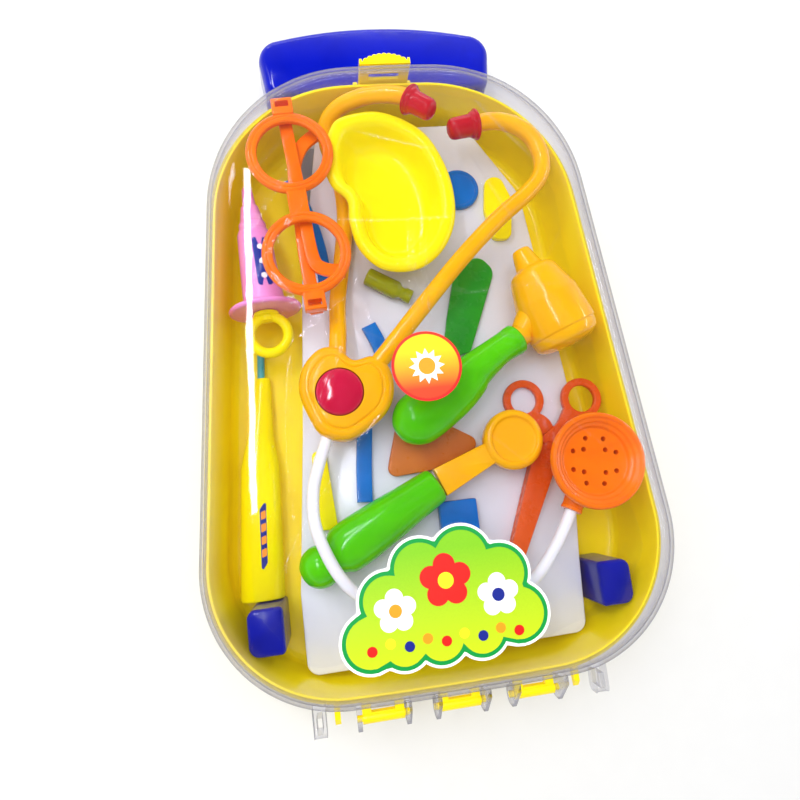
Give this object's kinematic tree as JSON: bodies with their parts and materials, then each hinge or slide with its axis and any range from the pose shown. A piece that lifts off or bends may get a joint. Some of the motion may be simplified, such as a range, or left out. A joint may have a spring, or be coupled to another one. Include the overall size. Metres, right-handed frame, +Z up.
{
  "type": "toy doctor case",
  "caption": "Toy doctor case with a clear hinged lid, latch, pull-out handle and wheels, holding toy instruments on a tray.",
  "frame": {"origin": "centre of the back face that the case lies on", "axes": "+X to the right, +Y along the case towards the pull handle, +Z up from the back face to the lid"},
  "size_m": [0.2518, 0.4155, 0.076],
  "materials": {
    "yellow_abs": "moulded, glossy",
    "clear_ps": "clear, polished",
    "blue_pp": "moulded, glossy",
    "dark_blue_pp": "moulded",
    "grey_rod": "moulded",
    "grey_guide": "moulded",
    "black_wheel": "moulded",
    "steel_pin": "drawn",
    "tray_sheet": "thermoformed, glossy",
    "amber_pe": "moulded",
    "red_pe": "moulded",
    "white_pvc": "extruded, soft",
    "orange_pe": "moulded",
    "bright_yellow_pe": "moulded",
    "green_pe": "moulded",
    "pink_pe": "moulded",
    "teal_pe": "moulded",
    "bright_blue_pe": "moulded",
    "olive_pe": "moulded",
    "brown_orange_pe": "moulded"
  },
  "bodies": {
    "case": {"base_shell": "yellow_abs", "rod_guide_left": "grey_guide", "rod_guide_right": "grey_guide", "axle_left": "steel_pin", "axle_right": "steel_pin", "wheel_housing_left": "dark_blue_pp", "wheel_housing_right": "dark_blue_pp", "insert_tray": "tray_sheet", "heart_base": "amber_pe", "heart_cover": "amber_pe", "button_spring": "steel_pin", "ear_tube_left": "amber_pe", "ear_tube_right": "amber_pe", "ear_tip_left": "red_pe", "ear_tip_right": "red_pe", "hose": "white_pvc", "chest_bell": "orange_pe", "glasses_frame": "orange_pe", "temple_upper": "orange_pe", "temple_lower": "orange_pe", "kidney_dish": "bright_yellow_pe", "otoscope_handle": "green_pe", "otoscope_head": "amber_pe", "mirror_handle": "green_pe", "mirror_head": "amber_pe", "syringe_barrel": "pink_pe", "thermometer_body": "bright_yellow_pe", "thermometer_probe": "teal_pe", "scissors_lower": "orange_pe", "forceps": "bright_blue_pe", "tongs": "bright_blue_pe", "spatula": "green_pe", "badge": "bright_blue_pe", "spoon": "bright_yellow_pe", "bottle": "olive_pe", "strip": "bright_yellow_pe", "splint": "brown_orange_pe", "medicine_box": "bright_blue_pe"},
    "lid": {"lid": "clear_ps"},
    "latch": {"latch": "yellow_abs"},
    "handle": {"pull_handle": "blue_pp", "rod_left": "grey_rod", "rod_right": "grey_rod"},
    "wheel_left": {"wheel_left": "black_wheel"},
    "wheel_right": {"wheel_right": "black_wheel"},
    "plunger": {"syringe_plunger": "bright_yellow_pe"},
    "button": {"heart_button": "red_pe"},
    "scissors_blade": {"scissors_upper": "orange_pe"}
  },
  "joints": [
    {"name": "lid_hinge", "type": "hinge", "parent": "case", "child": "lid", "pos_m": [0, -0.183, 0.042], "axis": [1, 0, 0], "range_deg": [0, 110]},
    {"name": "latch_hinge", "type": "hinge", "parent": "case", "child": "latch", "pos_m": [0, 0.1784, 0.0366], "axis": [-1, 0, 0], "range_deg": [0, 80]},
    {"name": "handle_slide", "type": "slide", "parent": "case", "child": "handle", "axis": [0, 1, 0], "range_m": [0, 0.15]},
    {"name": "wheel_left_spin", "type": "hinge", "parent": "case", "child": "wheel_left", "pos_m": [-0.097, -0.1347, 0.0106], "axis": [1, 0, 0], "continuous": true},
    {"name": "wheel_right_spin", "type": "hinge", "parent": "case", "child": "wheel_right", "pos_m": [0.097, -0.1347, 0.0106], "axis": [1, 0, 0], "continuous": true},
    {"name": "plunger_slide", "type": "slide", "parent": "case", "child": "plunger", "axis": [0.0633, -0.998, 0], "range_m": [0, 0.02]},
    {"name": "button_press", "type": "slide", "parent": "case", "child": "button", "axis": [0, 0, -1], "range_m": [0, 0.002], "stiffness_N_per_m": 300, "springref_m": -0.001, "deforming": ["button_spring"]},
    {"name": "scissors_pivot", "type": "hinge", "parent": "case", "child": "scissors_blade", "pos_m": [0.074, -0.054, 0.028], "axis": [0, 0, 1], "range_deg": [-4, 0]}
  ]
}
